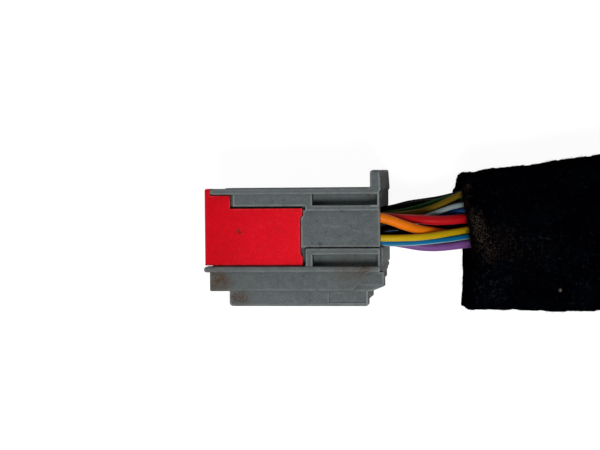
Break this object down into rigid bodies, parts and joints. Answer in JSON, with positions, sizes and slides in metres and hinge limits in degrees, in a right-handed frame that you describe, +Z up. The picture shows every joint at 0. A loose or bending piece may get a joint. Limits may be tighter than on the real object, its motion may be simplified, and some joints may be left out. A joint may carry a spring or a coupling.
{
  "type": "wire to board connector housing",
  "caption": "Moulded connector housing with guide rails, keyed base, slide-in lock, crimped coloured wires and a short fleece-wrapped loom.",
  "frame": {"origin": "under the middle of the connector, on the surface that its flank rests on", "axes": "+X from the mating face to the wires, +Y from the keel to the thumb guard, +Z up from the resting flank to the upper flank"},
  "size_m": [0.1259, 0.0413, 0.03],
  "materials": {
    "housing_grey": "moulded, satin",
    "lock_red": "moulded, satin",
    "terminal_tin": "tin plated",
    "loom_fleece": "black felt",
    "wire_orange": "smooth insulation",
    "wire_red": "smooth insulation",
    "wire_white": "smooth insulation",
    "wire_olive": "smooth insulation",
    "wire_green": "smooth insulation",
    "wire_black": "smooth insulation",
    "wire_yellow": "smooth insulation",
    "wire_blue": "smooth insulation",
    "wire_purple": "smooth insulation",
    "wire_navy": "smooth insulation",
    "wire_brown": "smooth insulation"
  },
  "bodies": {
    "connector": {"housing": "housing_grey", "wrap": "loom_fleece", "terminal_a1": "terminal_tin", "terminal_a2": "terminal_tin", "terminal_a3": "terminal_tin", "terminal_a4": "terminal_tin", "terminal_a5": "terminal_tin", "terminal_a6": "terminal_tin", "terminal_a7": "terminal_tin", "terminal_b1": "terminal_tin", "terminal_b2": "terminal_tin", "terminal_b3": "terminal_tin", "terminal_b4": "terminal_tin", "terminal_b5": "terminal_tin", "terminal_b6": "terminal_tin", "terminal_b7": "terminal_tin", "wire_orange": "wire_orange", "wire_red": "wire_red", "wire_white": "wire_white", "wire_olive": "wire_olive", "wire_green": "wire_green", "wire_black_1": "wire_black", "wire_black_2": "wire_black", "wire_yellow": "wire_yellow", "wire_blue": "wire_blue", "wire_purple": "wire_purple", "wire_navy": "wire_navy", "wire_brown": "wire_brown", "wire_black_3": "wire_black", "wire_black_4": "wire_black"},
    "lock": {"lock": "lock_red"}
  },
  "joints": [
    {"name": "lock_slide", "type": "slide", "parent": "connector", "child": "lock", "axis": [-1, 0, 0], "range_m": [0, 0.003]}
  ]
}
